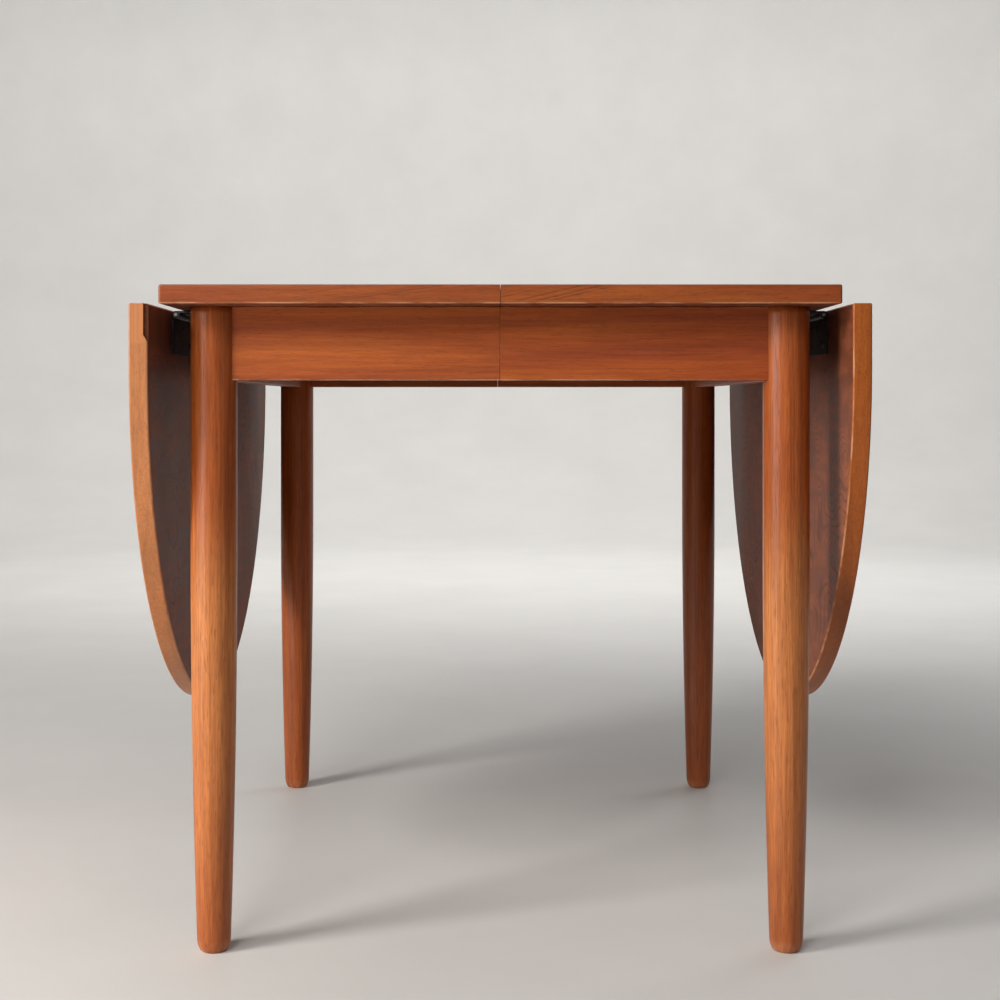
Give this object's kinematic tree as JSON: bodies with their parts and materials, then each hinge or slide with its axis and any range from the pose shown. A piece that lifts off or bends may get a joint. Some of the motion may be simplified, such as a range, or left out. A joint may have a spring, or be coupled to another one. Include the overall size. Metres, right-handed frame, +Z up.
{
  "type": "drop leaf table",
  "caption": "Dining table on tapered round legs, with a square top split by a sliding centre seam and a half-round leaf hinged to hang at each end.",
  "frame": {"origin": "on the floor under the middle of the table, leaves hanging and halves closed", "axes": "+X towards the right-hand leaf along the line the halves slide on, +Y across the table to the rear, +Z up"},
  "size_m": [0.791, 0.85, 0.73],
  "materials": {
    "top_teak": "satin oiled teak",
    "leaf_teak": "satin oiled teak veneer",
    "leg_teak": "satin oiled teak",
    "apron_teak": "satin oiled teak",
    "runner_beech": "bare planed beech",
    "block_birch": "bare sawn birch",
    "black_steel": "worn black enamel",
    "bright_steel": "drawn steel pin"
  },
  "bodies": {
    "left_frame": {"left_top": "top_teak", "left_end_apron": "apron_teak", "left_bearer_keeper": "runner_beech", "front_left_leg": "leg_teak", "front_left_apron": "apron_teak", "front_left_corner_block": "block_birch", "front_left_top_cleat": "runner_beech", "front_left_runner": "runner_beech", "front_left_hinge_top_plate": "black_steel", "front_left_hinge_pin": "bright_steel", "rear_left_leg": "leg_teak", "rear_left_apron": "apron_teak", "rear_left_corner_block": "block_birch", "rear_left_top_cleat": "runner_beech", "rear_left_runner": "runner_beech", "rear_left_hinge_top_plate": "black_steel", "rear_left_hinge_pin": "bright_steel", "seam_dowel_1": "block_birch", "seam_dowel_2": "block_birch", "seam_dowel_3": "block_birch"},
    "right_frame": {"right_top": "top_teak", "right_end_apron": "apron_teak", "right_bearer_keeper": "runner_beech", "front_right_leg": "leg_teak", "front_right_apron": "apron_teak", "front_right_corner_block": "block_birch", "front_right_top_cleat": "runner_beech", "front_right_runner": "runner_beech", "front_right_hinge_top_plate": "black_steel", "front_right_hinge_pin": "bright_steel", "rear_right_leg": "leg_teak", "rear_right_apron": "apron_teak", "rear_right_corner_block": "block_birch", "rear_right_top_cleat": "runner_beech", "rear_right_runner": "runner_beech", "rear_right_hinge_top_plate": "black_steel", "rear_right_hinge_pin": "bright_steel"},
    "front_middle_runner_bar": {"front_middle_runner": "runner_beech"},
    "rear_middle_runner_bar": {"rear_middle_runner": "runner_beech"},
    "left_drop_leaf": {"left_leaf": "leaf_teak", "front_left_hinge_leaf_plate": "black_steel", "rear_left_hinge_leaf_plate": "black_steel"},
    "right_drop_leaf": {"right_leaf": "leaf_teak", "front_right_hinge_leaf_plate": "black_steel", "rear_right_hinge_leaf_plate": "black_steel"},
    "front_left_pull_out_bearer": {"front_left_bearer": "runner_beech", "front_left_bearer_peg": "block_birch"},
    "rear_left_pull_out_bearer": {"rear_left_bearer": "runner_beech", "rear_left_bearer_peg": "block_birch"},
    "front_right_pull_out_bearer": {"front_right_bearer": "runner_beech", "front_right_bearer_peg": "block_birch"},
    "rear_right_pull_out_bearer": {"rear_right_bearer": "runner_beech", "rear_right_bearer_peg": "block_birch"}
  },
  "joints": [
    {"name": "extension_slide", "type": "slide", "parent": "left_frame", "child": "right_frame", "axis": [1, 0, 0], "range_m": [0, 0.5]},
    {"name": "front_middle_runner_slide", "type": "slide", "parent": "left_frame", "child": "front_middle_runner_bar", "axis": [1, 0, 0], "range_m": [0, 0.25]},
    {"name": "rear_middle_runner_slide", "type": "slide", "parent": "left_frame", "child": "rear_middle_runner_bar", "axis": [1, 0, 0], "range_m": [0, 0.25]},
    {"name": "left_leaf_hinge", "type": "hinge", "parent": "left_frame", "child": "left_drop_leaf", "pos_m": [-0.3702, 0, 0.7047], "axis": [0, 1, 0], "range_deg": [0, 90]},
    {"name": "right_leaf_hinge", "type": "hinge", "parent": "right_frame", "child": "right_drop_leaf", "pos_m": [0.3702, 0, 0.7047], "axis": [0, -1, 0], "range_deg": [0, 90]},
    {"name": "front_left_bearer_slide", "type": "slide", "parent": "left_frame", "child": "front_left_pull_out_bearer", "axis": [-1, 0, 0], "range_m": [0, 0.036]},
    {"name": "rear_left_bearer_slide", "type": "slide", "parent": "left_frame", "child": "rear_left_pull_out_bearer", "axis": [-1, 0, 0], "range_m": [0, 0.036]},
    {"name": "front_right_bearer_slide", "type": "slide", "parent": "right_frame", "child": "front_right_pull_out_bearer", "axis": [1, 0, 0], "range_m": [0, 0.036]},
    {"name": "rear_right_bearer_slide", "type": "slide", "parent": "right_frame", "child": "rear_right_pull_out_bearer", "axis": [1, 0, 0], "range_m": [0, 0.036]}
  ],
  "couplings": [
    {"joint": "front_middle_runner_slide", "follows": "extension_slide", "ratio": 0.5},
    {"joint": "rear_middle_runner_slide", "follows": "extension_slide", "ratio": 0.5}
  ]
}
